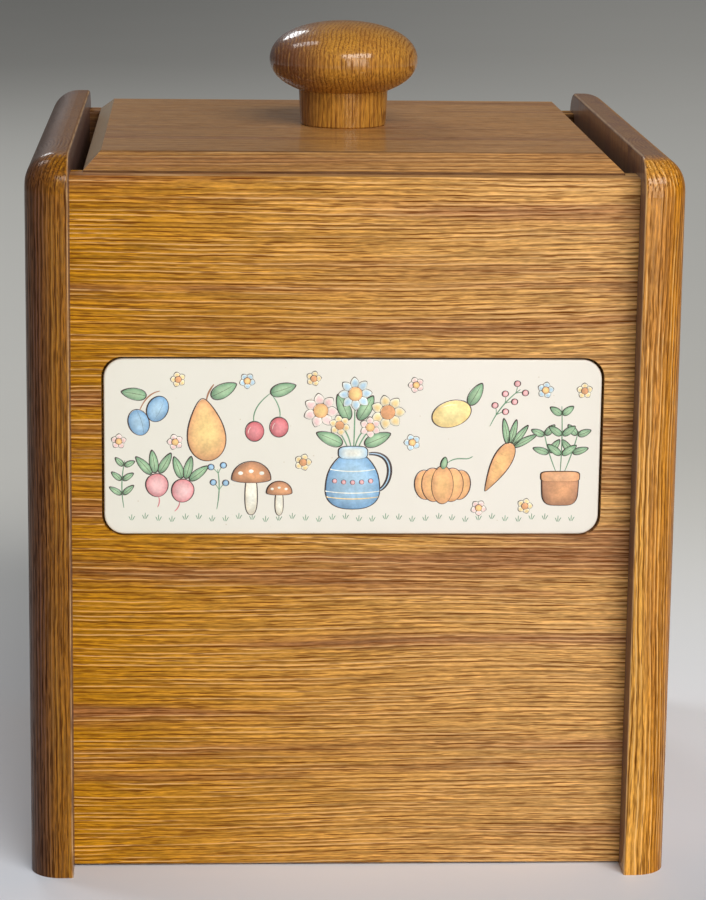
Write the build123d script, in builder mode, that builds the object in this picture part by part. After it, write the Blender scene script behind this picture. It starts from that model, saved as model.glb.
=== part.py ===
from build123d import *
from math import acos, cos, pi, sin, tan
import os

# Oak storage canister, in millimetres.
# The origin is in the middle of the footprint, on the surface that the canister stands on.
# X runs to the right, Y runs from the front to the back, and Z runs up.

# Outside of the box
overall_width = 208.0
overall_depth = 206.0
side_height = 236.0

# Side boards: corners rounded as seen from the side, outer edges rounded over, inner edges eased
side_thickness = 14.0
side_corner_radius = 12.0
side_roundover = 10.0
inner_easing = 1.0
least_flat = 0.5  # left flat between two roundings of one board

# Front and back panels, held between the side boards
panel_thickness = 14.0
panel_top_drop = 7.5
panel_floor_gap = 0.6
front_setback = 11.0
back_setback = 1.0
panel_easing = 0.8

# Bottom panel, in a groove in all four boards
bottom_thickness = 6.0
bottom_lift = 10.0
groove_depth = 5.0
groove_slack = 0.2
groove_end_gap = 0.5

# Dowels of the four upright joints, three in each
dowel_diameter = 6.0
dowel_in_side = 9.5
dowel_in_panel = 20.0
dowel_fit = 0.05
dowel_end_gap = 0.5
dowel_chamfer = 0.8
dowel_edge_margin = 25.0
dowel_tile_margin = 12.0

# Tile, glued into a pocket in the front panel
tile_side_margin = 10.3
tile_top_margin = 58.4
tile_height = 57.6
tile_thickness = 5.5
tile_corner_radius = 6.5
tile_edge_radius = 0.6
tile_gap = 0.7
tile_foot_gap = 0.2
tile_recess = 1.0
adhesive_thickness = 0.8
adhesive_dab_diameter = 20.0
adhesive_dab_margin = 16.0

# Liner, a thin bin that lifts out
liner_rim_drop = 25.0
liner_rim_gap = 1.5
liner_rim_width = 3.0
liner_rim_height = 4.0
liner_wall = 1.6
liner_draft = 1.5
liner_corner_radius = 16.0
liner_foot_radius = 6.0

# Lid: a lip over the panels' top edges, and a plug that drops between them
lid_side_gap = 4.0
lid_end_inset = 7.5
lid_rise = 5.5
lid_edge_height = 0.6
lid_side_bevel = 5.3
lid_end_bevel = 13.0
lid_plug_depth = 8.5
lid_plug_gap = 1.0

# Knob: a flattened ball on a short neck
knob_diameter = 50.8
knob_height = 35.4
knob_ball_height = 26.1
knob_foot_diameter = 29.2
knob_neck_diameter = 30.6
knob_fullness = 1.15  # 1 makes the ball a true ellipse
knob_foot_easing = 0.4

# Screw and washer that hold the knob from below
screw_diameter = 4.2
screw_grip = 20.0
screw_tip_length = 3.5
screw_head_diameter = 8.0
screw_head_height = 2.6
screw_head_easing = 0.9
screw_recess_width = 1.1
screw_recess_length = 4.4
screw_recess_depth = 1.6
screw_hole_fit = 0.05
screw_end_gap = 0.5
screw_clearance = 0.2
washer_diameter = 12.0
washer_thickness = 1.0
counterbore_gap = 1.0
head_recess = 0.4

# Planes and lines that several pieces share
inner_half_width = overall_width / 2 - side_thickness
panel_width = 2 * inner_half_width
panel_top = side_height - panel_top_drop
panel_height = panel_top - panel_floor_gap
panel_middle = (panel_top + panel_floor_gap) / 2
front_face = front_setback - overall_depth / 2
front_inner = front_face + panel_thickness
back_face = overall_depth / 2 - back_setback
back_inner = back_face - panel_thickness
opening_depth = back_inner - front_inner
opening_centre = (front_inner + back_inner) / 2

groove_height = bottom_thickness + groove_slack
groove_middle = bottom_lift + groove_height / 2
bottom_top = bottom_lift + bottom_thickness

tile_width = panel_width - 2 * tile_side_margin
tile_top = panel_top - tile_top_margin
tile_middle = tile_top - tile_height / 2
tile_front = front_face + tile_recess
pocket_width = tile_width + 2 * tile_gap
pocket_height = tile_height + tile_gap + tile_foot_gap
pocket_floor = tile_front + tile_thickness + adhesive_thickness
pocket_bottom = tile_middle - tile_height / 2 - tile_foot_gap
pocket_middle = pocket_bottom + pocket_height / 2

dowel_rows = (
    panel_floor_gap + dowel_edge_margin,
    pocket_bottom - dowel_tile_margin,
    panel_top - dowel_edge_margin,
)
front_dowel_line = (front_face + front_inner) / 2
back_dowel_line = (back_face + back_inner) / 2

lid_width = panel_width - 2 * lid_side_gap
lid_front = front_face + lid_end_inset
lid_back = back_face - lid_end_inset
lid_length = lid_back - lid_front
lid_centre = (lid_front + lid_back) / 2
lid_top = panel_top + lid_rise
plug_bottom = panel_top - lid_plug_depth
washer_seat = plug_bottom + washer_thickness + screw_head_height + head_recess
knob_axis = Axis((0, lid_centre, 0), (0, 0, 1))


def write(piece, label):
    """Name a finished piece and write it to its own file."""
    piece.part.label = label
    export_step(piece.part, f"parts/{label}.step")


os.makedirs("parts", exist_ok=True)

# Right side board: grooved for the bottom panel and bored for the dowels
with BuildPart() as right_side_board:
    with BuildSketch(Plane.YZ.offset(inner_half_width)):
        with Locations((0, side_height / 2)):
            Rectangle(overall_depth, side_height)
        fillet(vertices().group_by(Axis.Y)[-1], side_corner_radius)
    extrude(amount=side_thickness)
    outer_edges = faces().sort_by(Axis.X)[-1].edges().filter_by(lambda e: e.center().Z > least_flat)
    widest_roundover = min(side_corner_radius, side_thickness - inner_easing) - least_flat
    fillet(outer_edges, min(side_roundover, widest_roundover))
    inner_edges = faces().sort_by(Axis.X)[0].edges().filter_by(lambda e: e.center().Z > least_flat)
    fillet(inner_edges, inner_easing)
    with BuildSketch(Plane.YZ.offset(inner_half_width)):
        with Locations((opening_centre, groove_middle)):
            Rectangle(opening_depth + 2 * groove_depth, groove_height)
    extrude(amount=groove_depth, mode=Mode.SUBTRACT)
    with BuildSketch(Plane.YZ.offset(inner_half_width)):
        with Locations(*[(line, row) for line in (front_dowel_line, back_dowel_line) for row in dowel_rows]):
            Circle(dowel_diameter / 2 + dowel_fit)
    extrude(amount=dowel_in_side + dowel_end_gap, mode=Mode.SUBTRACT)
write(right_side_board, "right_side_board")

# Left side board: the right one, mirrored
with BuildPart() as left_side_board:
    mirror(right_side_board.part, about=Plane.YZ)
write(left_side_board, "left_side_board")

# Back panel: grooved on its inner face and bored in both ends
with BuildPart() as back_panel:
    with BuildSketch(Plane.XZ.offset(-back_face)):
        with Locations((0, panel_middle)):
            Rectangle(panel_width, panel_height)
    extrude(amount=panel_thickness)
    top_edges = edges().filter_by(Axis.X).group_by(Axis.Z)[-1]
    outer_foot_edge = edges().filter_by(Axis.X).group_by(Axis.Z)[0].sort_by(Axis.Y)[-1]
    fillet([*top_edges, outer_foot_edge], panel_easing)
    with BuildSketch(Plane.XZ.offset(-back_inner)):
        with Locations((0, groove_middle)):
            Rectangle(panel_width, groove_height)
    extrude(amount=-groove_depth, mode=Mode.SUBTRACT)
    for end, inward in ((-inner_half_width, 1), (inner_half_width, -1)):
        with BuildSketch(Plane.YZ.offset(end)):
            with Locations(*[(back_dowel_line, row) for row in dowel_rows]):
                Circle(dowel_diameter / 2 + dowel_fit)
        extrude(amount=inward * (dowel_in_panel + dowel_end_gap), mode=Mode.SUBTRACT)
write(back_panel, "back_panel")

# Front panel: the back panel mirrored about the middle of the opening, with the tile's pocket cut in its face
with BuildPart() as front_panel:
    mirror(back_panel.part, about=Plane.XZ.offset(-opening_centre))
    with BuildSketch(Plane.XZ.offset(-front_face)):
        with Locations((0, pocket_middle)):
            RectangleRounded(pocket_width, pocket_height, tile_corner_radius + tile_foot_gap)
    extrude(amount=front_face - pocket_floor, mode=Mode.SUBTRACT)
write(front_panel, "front_panel")

# Bottom panel: its edges lie in the grooves
with BuildPart() as bottom_panel:
    tongue = groove_depth - groove_end_gap
    with BuildSketch(Plane.XY.offset(bottom_lift)):
        with Locations((0, opening_centre)):
            Rectangle(panel_width + 2 * tongue, opening_depth + 2 * tongue)
    extrude(amount=bottom_thickness)
write(bottom_panel, "bottom_panel")

# Dowels: three in each upright joint, half in the side board and half in the panel's end
for corner, side, line in (
    ("front_left", -1, front_dowel_line),
    ("front_right", 1, front_dowel_line),
    ("back_left", -1, back_dowel_line),
    ("back_right", 1, back_dowel_line),
):
    with BuildPart() as dowels:
        with BuildSketch(Plane.YZ.offset(side * (inner_half_width + dowel_in_side))):
            with Locations(*[(line, row) for row in dowel_rows]):
                Circle(dowel_diameter / 2)
        extrude(amount=-side * (dowel_in_side + dowel_in_panel))
        chamfer(edges().filter_by(GeomType.CIRCLE), dowel_chamfer)
    write(dowels, f"{corner}_dowels")

# Tile: its glazed face lies below the panel's face, and its foot is close to the pocket's lower edge
with BuildPart() as tile:
    with BuildSketch(Plane.XZ.offset(-tile_front)):
        with Locations((0, tile_middle)):
            RectangleRounded(tile_width, tile_height, tile_corner_radius)
    extrude(amount=-tile_thickness)
    fillet(faces().sort_by(Axis.Y)[0].edges(), tile_edge_radius)
write(tile, "tile")

# Tile adhesive: one dab near each corner and one in the middle, between the tile and the pocket's floor
with BuildPart() as tile_adhesive:
    dab_x = tile_width / 2 - adhesive_dab_margin
    dab_z = tile_height / 2 - adhesive_dab_margin
    with BuildSketch(Plane.XZ.offset(-pocket_floor)):
        with Locations((0, tile_middle)):
            Circle(adhesive_dab_diameter / 2)
            with GridLocations(2 * dab_x, 2 * dab_z, 2, 2):
                Circle(adhesive_dab_diameter / 2)
    extrude(amount=adhesive_thickness)
write(tile_adhesive, "tile_adhesive")


def liner_outline(inset, mode=Mode.ADD):
    """The liner's outline at its rim, drawn in by inset from the rim's outer edge."""
    reach = inset + liner_rim_gap
    radius = liner_corner_radius + liner_rim_width - inset
    with Locations((0, opening_centre)):
        RectangleRounded(panel_width - 2 * reach, opening_depth - 2 * reach, radius, mode=mode)


def drafted_bin(wall):
    """The liner's body, drawn in by wall all round: with no wall its outside, with one its cavity."""
    with BuildPart() as body:
        with BuildSketch(Plane.XY.offset(liner_rim_top)):
            liner_outline(liner_rim_width + wall)
        extrude(amount=bottom_top + wall - liner_rim_top, taper=liner_draft)
        fillet(faces().sort_by(Axis.Z)[0].edges(), liner_foot_radius - wall)
    return body.part


# Liner: a drafted bin that stands on the bottom panel, with a flange and a turned-down rim round its mouth
liner_rim_top = panel_top - liner_rim_drop
liner_outside = drafted_bin(0)
liner_cavity = drafted_bin(liner_wall)
with BuildPart() as liner:
    add(liner_outside)
    add(liner_cavity, mode=Mode.SUBTRACT)
    with BuildSketch(Plane.XY.offset(liner_rim_top)):
        liner_outline(0)
        liner_outline(liner_rim_width + liner_wall / 2, Mode.SUBTRACT)
    extrude(amount=-liner_wall)
    with BuildSketch(Plane.XY.offset(liner_rim_top)):
        liner_outline(0)
        liner_outline(liner_wall, Mode.SUBTRACT)
    extrude(amount=-liner_rim_height)
write(liner, "liner")

# Lid board: a plug between the panels, a lip over them, and four bevels up to the flat top
with BuildPart() as lid_board:
    with BuildSketch(Plane.XY.offset(plug_bottom)):
        with Locations((0, opening_centre)):
            Rectangle(lid_width, opening_depth - 2 * lid_plug_gap)
    extrude(amount=lid_plug_depth)
    with BuildSketch(Plane.XY.offset(panel_top)):
        with Locations((0, lid_centre)):
            Rectangle(lid_width, lid_length)
    extrude(amount=lid_edge_height)
    with BuildSketch(Plane.XY.offset(panel_top + lid_edge_height)):
        with Locations((0, lid_centre)):
            Rectangle(lid_width, lid_length)
    with BuildSketch(Plane.XY.offset(lid_top)):
        with Locations((0, lid_centre)):
            Rectangle(lid_width - 2 * lid_side_bevel, lid_length - 2 * lid_end_bevel)
    loft(ruled=True)
    with BuildSketch(Plane.XY.offset(plug_bottom)):
        with Locations((0, lid_centre)):
            Circle(washer_diameter / 2 + counterbore_gap)
    extrude(amount=washer_seat - plug_bottom, mode=Mode.SUBTRACT)
    with BuildSketch(Plane.XY.offset(washer_seat)):
        with Locations((0, lid_centre)):
            Circle(screw_diameter / 2 + screw_clearance)
    extrude(amount=lid_top - washer_seat, mode=Mode.SUBTRACT)
write(lid_board, "lid_board")

# Knob: one turned profile, from the bore and the neck's foot up to the ball.
# The ball is a full ellipse in two curves: from the neck up to its widest place, and from there to its top.
with BuildPart() as knob:
    ball_radius = knob_diameter / 2
    ball_rise = knob_ball_height / 2
    ball_middle = lid_top + knob_height - ball_rise
    foot_radius = knob_foot_diameter / 2
    bore_radius = screw_diameter / 2 + screw_hole_fit
    bore_top = lid_top + screw_grip + screw_end_gap
    neck_angle = acos(knob_neck_diameter / knob_diameter)
    neck_top = (ball_radius * cos(neck_angle), ball_middle - ball_rise * sin(neck_angle))
    lower_corner = (ball_radius, ball_middle - ball_rise * tan(neck_angle / 2))
    widest = (ball_radius, ball_middle)
    upper_corner = (ball_radius, ball_middle + ball_rise)
    summit = (0, ball_middle + ball_rise)
    with BuildSketch(Plane.XZ.offset(-lid_centre)):
        with BuildLine():
            Bezier(neck_top, lower_corner, widest, weights=[1, knob_fullness * cos(neck_angle / 2), 1])
            Bezier(widest, upper_corner, summit, weights=[1, knob_fullness * cos(pi / 4), 1])
            Polyline(
                neck_top,
                (foot_radius, lid_top + knob_foot_easing),
                (foot_radius - knob_foot_easing, lid_top),
                (bore_radius, lid_top),
                (bore_radius, bore_top),
                (0, bore_top),
                summit,
            )
        make_face()
    revolve(axis=knob_axis)
write(knob, "knob")

# Knob screw: pan head below the washer, pointed shank up into the knob, cross recess in the head
with BuildPart() as knob_screw:
    head_top = washer_seat - washer_thickness
    head_bottom = head_top - screw_head_height
    shank_top = lid_top + screw_grip
    with BuildSketch(Plane.XZ.offset(-lid_centre)):
        with BuildLine():
            Polyline(
                (0, head_bottom),
                (screw_head_diameter / 2 - screw_head_easing, head_bottom),
                (screw_head_diameter / 2, head_bottom + screw_head_easing),
                (screw_head_diameter / 2, head_top),
                (screw_diameter / 2, head_top),
                (screw_diameter / 2, shank_top - screw_tip_length),
                (0, shank_top),
                close=True,
            )
        make_face()
    revolve(axis=knob_axis)
    with BuildSketch(Plane.XY.offset(head_bottom)):
        with Locations((0, lid_centre)):
            Rectangle(screw_recess_length, screw_recess_width)
            Rectangle(screw_recess_width, screw_recess_length)
    extrude(amount=screw_recess_depth, mode=Mode.SUBTRACT)
write(knob_screw, "knob_screw")

# Washer under the screw's head
with BuildPart() as knob_washer:
    with BuildSketch(Plane.XY.offset(washer_seat - washer_thickness)):
        with Locations((0, lid_centre)):
            Circle(washer_diameter / 2)
            Circle(screw_diameter / 2 + screw_clearance, mode=Mode.SUBTRACT)
    extrude(amount=washer_thickness)
write(knob_washer, "knob_washer")
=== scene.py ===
"""An oak storage canister: the finish of each piece, the design printed on its tile, and its stand."""
from math import pi, radians

import bpy
import numpy as np
from mathutils import Matrix, Vector


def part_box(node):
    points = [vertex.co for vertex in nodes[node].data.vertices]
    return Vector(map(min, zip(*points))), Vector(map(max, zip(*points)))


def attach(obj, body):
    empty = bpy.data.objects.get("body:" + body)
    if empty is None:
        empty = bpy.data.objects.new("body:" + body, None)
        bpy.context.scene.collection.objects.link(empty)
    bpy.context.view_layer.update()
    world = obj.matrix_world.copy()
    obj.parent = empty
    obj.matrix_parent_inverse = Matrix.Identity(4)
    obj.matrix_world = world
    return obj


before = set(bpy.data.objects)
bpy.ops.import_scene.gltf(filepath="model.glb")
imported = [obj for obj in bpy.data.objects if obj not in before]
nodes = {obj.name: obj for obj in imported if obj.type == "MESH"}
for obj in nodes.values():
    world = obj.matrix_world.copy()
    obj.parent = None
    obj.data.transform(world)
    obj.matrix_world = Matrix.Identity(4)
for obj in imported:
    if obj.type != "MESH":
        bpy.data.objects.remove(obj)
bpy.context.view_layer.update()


# Side boards
# Two upright boards of golden oak, 14 mm thick, with the grain running up them. Their outer edges are rounded
# over, sanded and lacquered to a satin finish, and the panels are dowelled between their inner faces.


def add_node(tree, kind, inputs=None, **settings):
    """One shader node with its settings. An input is a plain value, or another node's socket to link from."""
    made = tree.nodes.new("ShaderNode" + kind)
    for name, value in settings.items():
        setattr(made, name, value)
    for name, value in (inputs or {}).items():
        if isinstance(value, bpy.types.NodeSocket):
            tree.links.new(value, made.inputs[name])
        else:
            made.inputs[name].default_value = value
    return made


def calc(tree, operation, *values):
    """Arithmetic on one or more numbers."""
    return add_node(tree, "Math", dict(enumerate(values)), operation=operation).outputs[0]


def vector_calc(tree, operation, *values):
    """Arithmetic on vectors. LENGTH gives a number."""
    made = add_node(tree, "VectorMath", dict(enumerate(values)), operation=operation)
    return made.outputs["Value" if operation == "LENGTH" else "Vector"]


def split(tree, place):
    """The X, Y and Z of a place."""
    return add_node(tree, "SeparateXYZ", {"Vector": place}).outputs


def noise(tree, place, per_metre, detail=2.0, output="Fac"):
    """Noise with so many features in a metre along each axis, about 0.5 on average."""
    stretched = vector_calc(tree, "MULTIPLY", place, per_metre)
    return add_node(tree, "TexNoise", {"Vector": stretched, "Scale": 1.0, "Detail": detail}).outputs[output]


def cells(tree, place, per_metre):
    """Distance to the nearest of many scattered points, with so many of them in a metre along each axis."""
    stretched = vector_calc(tree, "MULTIPLY", place, per_metre)
    return add_node(tree, "TexVoronoi", {"Vector": stretched, "Scale": 1.0}).outputs["Distance"]


def between(tree, value, start, end, low=0.0, high=1.0):
    """Low where value is at start or before it, high from end on, and a smooth step from one to the other."""
    inputs = {"Value": value, "From Min": start, "From Max": end, "To Min": low, "To Max": high}
    return add_node(tree, "MapRange", inputs, interpolation_type="SMOOTHSTEP").outputs["Result"]


def blend_colours(tree, share, first, second, mode="MIX"):
    """The first colour, with so much of the second mixed in. A Mix node's sockets 6, 7 and 2 are colours."""
    inputs = {0: share, 6: first, 7: second}
    return add_node(tree, "Mix", inputs, data_type="RGBA", blend_type=mode).outputs[2]


def new_group(name, inputs, outputs):
    """An empty node group with named sockets, and its entry and exit."""
    tree = bpy.data.node_groups.new(name, "ShaderNodeTree")
    for direction, sockets in (("INPUT", inputs), ("OUTPUT", outputs)):
        for socket, kind in sockets.items():
            tree.interface.new_socket(name=socket, in_out=direction, socket_type="NodeSocket" + kind)
    return tree, tree.nodes.new("NodeGroupInput").outputs, tree.nodes.new("NodeGroupOutput").inputs


def oak_figure():
    """Oak, solid right through a board. The place is in metres from the pith, with X along the grain. A ring
    is a step of the distance from the pith, bent by a slow and a quick noise. Each ring starts with a dark
    row of open vessels, broken along the grain, and a pale thread lies beside some rows. Long thin cells are
    the single vessels, which show as dashes along the grain and as dots across it."""
    tree, given, result = new_group(
        "oak figure",
        {"Place": "Vector", "Ring Width": "Float", "Honey": "Color", "Pale": "Color", "Late Wood": "Color",
         "Vessel": "Color", "Banding": "Float", "Streaks": "Float"},
        {"Colour": "Color", "Vessels": "Float", "Height": "Float"},
    )
    slow_bend = (0.0, 0.012, 0.012)
    quick_bend = (0.0, 0.0009, 0.0009)
    uneven_rings = 1.6
    stray_strength = 0.75
    thread_strength = 0.6
    late_in_ring = 0.12
    fibre_height = 0.25

    place = given["Place"]
    bent = place
    for per_metre, bend in (((4.0, 16.0, 16.0), slow_bend), ((55.0, 190.0, 190.0), quick_bend)):
        sway = noise(tree, place, per_metre, output="Color")
        sway = vector_calc(tree, "SUBTRACT", sway, (0.5, 0.5, 0.5))
        bent = vector_calc(tree, "ADD", bent, vector_calc(tree, "MULTIPLY", sway, bend))
    pith_distance = vector_calc(tree, "LENGTH", vector_calc(tree, "MULTIPLY", bent, (0.0, 1.0, 1.0)))
    rings = calc(tree, "DIVIDE", pith_distance, given["Ring Width"])
    rings = calc(tree, "MULTIPLY_ADD", noise(tree, bent, (2.0, 130.0, 130.0)), uneven_rings, rings)
    ring = calc(tree, "FRACT", rings)

    kept = between(tree, noise(tree, bent, (19.0, 460.0, 460.0), detail=3.0), 0.28, 0.52)
    row = calc(tree, "MULTIPLY", between(tree, ring, 0.0, 0.1), between(tree, ring, 0.2, 0.46, 1.0, 0.0))
    vessel = between(tree, cells(tree, bent, (70.0, 2100.0, 2100.0)), 0.66, 0.3, 0.5, 1.0)
    row = calc(tree, "MULTIPLY", calc(tree, "MULTIPLY", row, kept), vessel)
    stray = between(tree, cells(tree, bent, (85.0, 1500.0, 1500.0)), 0.36, 0.16, 0.0, stray_strength)
    vessels = calc(tree, "MAXIMUM", row, stray)
    thread = calc(tree, "MULTIPLY", between(tree, ring, 0.42, 0.54), between(tree, ring, 0.62, 0.8, 1.0, 0.0))
    chosen = between(tree, noise(tree, bent, (19.0, 560.0, 560.0)), 0.44, 0.6)
    thread = calc(tree, "MULTIPLY", calc(tree, "MULTIPLY", thread, chosen), thread_strength)
    fibres = noise(tree, bent, (30.0, 1300.0, 1300.0), detail=3.0)
    hairs = noise(tree, bent, (300.0, 2800.0, 2800.0))
    bands = between(tree, noise(tree, bent, (3.5, 85.0, 85.0), detail=3.0), 0.48, 0.64)
    drift = noise(tree, place, (3.0, 9.0, 9.0))

    late = calc(tree, "MULTIPLY_ADD", ring, late_in_ring, calc(tree, "MULTIPLY", bands, given["Banding"]))
    colour = blend_colours(tree, late, given["Honey"], given["Late Wood"])
    streaks = between(tree, fibres, 0.25, 0.75, -1.0, 1.0)
    streaks = calc(tree, "MULTIPLY_ADD", streaks, given["Streaks"], 1.0)
    light = calc(tree, "MULTIPLY", streaks, between(tree, hairs, 0.2, 0.8, 0.68, 1.32))
    light = calc(tree, "ADD", light, between(tree, drift, 0.3, 0.7, -0.07, 0.07))
    colour = blend_colours(tree, 1.0, colour, light, "MULTIPLY")
    colour = blend_colours(tree, thread, colour, given["Pale"])
    height = calc(tree, "SUBTRACT", calc(tree, "MULTIPLY", fibres, fibre_height), vessels)
    tree.links.new(blend_colours(tree, vessels, colour, given["Vessel"]), result["Colour"])
    tree.links.new(vessels, result["Vessels"])
    tree.links.new(height, result["Height"])
    return tree


def handling():
    """Marks of use on lacquer or glaze, as a share: wide soft smears and short fine scratches."""
    tree, given, result = new_group("handling", {"Place": "Vector"}, {"Marks": "Float"})
    smears = between(tree, noise(tree, given["Place"], (14.0, 14.0, 14.0), detail=4.0), 0.45, 0.75)
    scratches = between(tree, noise(tree, given["Place"], (60.0, 900.0, 420.0), detail=1.0), 0.72, 0.8)
    smear_strength = 0.6
    smears = calc(tree, "MULTIPLY", smears, smear_strength)
    tree.links.new(calc(tree, "MAXIMUM", smears, scratches), result["Marks"])
    return tree


def new_surface(name, **settings):
    """A material, its node tree, its shader, and the place of each point in metres."""
    material = bpy.data.materials.new(name)
    material.use_nodes = True
    tree = material.node_tree
    shader = tree.nodes["Principled BSDF"]
    for socket, value in settings.items():
        shader.inputs[socket.replace("_", " ")].default_value = value
    return material, tree, shader, add_node(tree, "TexCoord").outputs["Object"]


def finish_node(node, material):
    """Give a CAD node its material."""
    nodes[node].material_slots[0].material = material


oak_group = oak_figure()
handling_group = handling()
grain_level = (0.0, 0.0, 0.0)
grain_upright = (0.0, -pi / 2, 0.0)
vessel_depth = 0.00022
vessel_roughness = 0.15
mark_roughness = 0.08


def oak(name, pith, lean, ring_width, honey, pale, late_wood, vessel, banding, streaks, roughness, lacquer,
        turns_to=None, turn_from=0.0, turn_end=0.0):
    """Lacquered oak. The pith is a point on the middle line of the tree, and the lean turns the grain from
    level. The lacquer sinks into the vessels. The honey colour may turn to another one across the canister,
    from one X to the next."""
    material, tree, shader, place = new_surface(name, Coat_Roughness=0.13, IOR=1.46, Specular_IOR_Level=0.1)
    from_pith = {"Vector": place, "Location": pith, "Rotation": lean}
    sawn = add_node(tree, "Mapping", from_pith, vector_type="TEXTURE").outputs["Vector"]
    wood = add_node(tree, "Group", {
        "Place": sawn, "Ring Width": ring_width, "Honey": honey, "Pale": pale, "Late Wood": late_wood,
        "Vessel": vessel, "Banding": banding, "Streaks": streaks,
    }, node_tree=oak_group)
    if turns_to:
        turned_share = between(tree, split(tree, place)["X"], turn_from, turn_end)
        tree.links.new(blend_colours(tree, turned_share, honey, turns_to), wood.inputs["Honey"])
    vessels = wood.outputs["Vessels"]
    marks = add_node(tree, "Group", {"Place": place}, node_tree=handling_group).outputs["Marks"]
    rough = calc(tree, "MULTIPLY_ADD", vessels, vessel_roughness, roughness)
    rough = calc(tree, "MULTIPLY_ADD", marks, mark_roughness, rough)
    relief = {"Strength": 0.32, "Distance": vessel_depth, "Height": wood.outputs["Height"]}
    tree.links.new(wood.outputs["Colour"], shader.inputs["Base Color"])
    tree.links.new(rough, shader.inputs["Roughness"])
    tree.links.new(between(tree, vessels, 0.1, 0.7, lacquer, 0.0), shader.inputs["Coat Weight"])
    tree.links.new(add_node(tree, "Bump", relief).outputs["Normal"], shader.inputs["Normal"])
    return material


def to_paint(material):
    """What it takes to paint over a finished material: its node tree, its colour input, the colour that goes
    in so far, and the place of each point in metres."""
    tree = material.node_tree
    colour_input = tree.nodes["Principled BSDF"].inputs["Base Color"]
    return tree, colour_input, colour_input.links[0].from_socket, add_node(tree, "TexCoord").outputs["Object"]


board_low, board_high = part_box("right_side_board")
inner_face = board_low.x
board_top = board_high.z
board_centre = Vector((0.0, (board_low.y + board_high.y) / 2, board_high.z / 2))
board_half = Vector((0.0, (board_high.y - board_low.y) / 2, board_high.z / 2))
corner_round = Vector((0.0, 0.012, 0.012))
# Dark mauve for painted shade on the inner faces, and for stained end grain with painted shade on the tops.
stain_and_shade = (0.14, 0.09, 0.09, 1.0)
arris_highlight_colour = (0.58, 0.36, 0.17, 1.0)


def paint_board_light_and_stain(material, tops, painted_shade_tints=None):
    """Paint light and a stained tone on a side board: painted shade darkens its inner face, and, by the share
    given, the end grain on top takes a darker stained tone with painted shade. A painted highlight runs pale
    along the inner arris. The arris is where a rounded outline, seen from the side, meets the inner face, so
    its distance is that of a rounded rectangle. Given shade tints, painted shade darkens the board along its
    front and top edges, by one tint at its inner side and another at its outer."""
    tree, colour_input, wood, point = to_paint(material)
    place = split(tree, point)
    from_middle = calc(tree, "ABSOLUTE", place["X"])
    # Painted shade along the front and top edges, with one tint at the inner side and another at the outer.
    if painted_shade_tints:
        front = between(tree, place["Y"], board_low.y + 0.026, board_low.y + 0.01)
        top = between(tree, place["Z"], board_top - 0.023, board_top - 0.007)
        outer_share = between(tree, from_middle, inner_face + 0.0025, inner_face + 0.0105)
        tint = blend_colours(tree, outer_share, *painted_shade_tints)
        darker = blend_colours(tree, 1.0, wood, tint, "MULTIPLY")
        wood = blend_colours(tree, calc(tree, "MAXIMUM", front, top), wood, darker)
    # Painted shade on the inner face, and a stained tone with painted shade on the end grain on top.
    painted_shade_inside = between(tree, from_middle, inner_face + 0.0003, inner_face + 0.0001, 0.0, 0.75)
    end_grain = between(tree, place["Z"], board_top - 0.0015, board_top - 0.0002, 0.0, tops)
    wood = blend_colours(tree, calc(tree, "MAXIMUM", painted_shade_inside, end_grain), wood, stain_and_shade)

    # A painted highlight: the inner arris pale, broken into patches.
    out = vector_calc(tree, "ABSOLUTE", vector_calc(tree, "SUBTRACT", point, board_centre))
    past = vector_calc(tree, "SUBTRACT", out, board_half - corner_round)
    corner = vector_calc(tree, "MAXIMUM", past, (0.0, 0.0, 0.0))
    corner = vector_calc(tree, "LENGTH", vector_calc(tree, "MULTIPLY", corner, (0.0, 1.0, 1.0)))
    inwards = split(tree, past)
    inwards = calc(tree, "MINIMUM", calc(tree, "MAXIMUM", inwards["Y"], inwards["Z"]), 0.0)
    to_outline = calc(tree, "SUBTRACT", calc(tree, "ADD", corner, inwards), corner_round.z)
    near_face = between(tree, from_middle, inner_face + 0.0007, inner_face + 0.0002)
    painted_arris_highlight = calc(tree, "MULTIPLY", between(tree, to_outline, -0.0007, -0.0003), near_face)
    patches = between(tree, noise(tree, point, (90.0, 90.0, 90.0)), 0.35, 0.55, 0.25, 0.75)
    painted_arris_highlight = calc(tree, "MULTIPLY", painted_arris_highlight, patches)
    tree.links.new(blend_colours(tree, painted_arris_highlight, wood, arris_highlight_colour), colour_input)


# The right board's honey turns darker and more orange towards its outer side: painted shade.
right_oak = oak(
    "right side board oak", pith=(0.152, -0.065, 0.9), lean=grain_upright, ring_width=0.0014,
    honey=(0.58, 0.275, 0.04, 1.0), pale=(0.86, 0.5, 0.17, 1.0), late_wood=(0.34, 0.12, 0.02, 1.0),
    vessel=(0.11, 0.028, 0.0, 1.0), banding=0.5, streaks=0.36, roughness=0.42, lacquer=0.45,
    turns_to=(0.44, 0.16, 0.0, 1.0), turn_from=0.092, turn_end=0.103,
)
left_oak = oak(
    "left side board oak", pith=(-0.15, -0.07, -0.7), lean=grain_upright, ring_width=0.0014,
    honey=(0.5, 0.22, 0.02, 1.0), pale=(0.84, 0.46, 0.13, 1.0), late_wood=(0.32, 0.12, 0.02, 1.0),
    vessel=(0.11, 0.028, 0.0, 1.0), banding=0.5, streaks=0.36, roughness=0.42, lacquer=0.4,
)
paint_board_light_and_stain(right_oak, tops=0.6)
# The left board takes painted shade along its front and top edges.
paint_board_light_and_stain(left_oak, tops=0.2, painted_shade_tints=((0.5, 0.43, 0.1, 1.0), (0.2, 0.16, 0.38, 1.0)))
finish_node("right_side_board", right_oak)
finish_node("left_side_board", left_oak)
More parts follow.
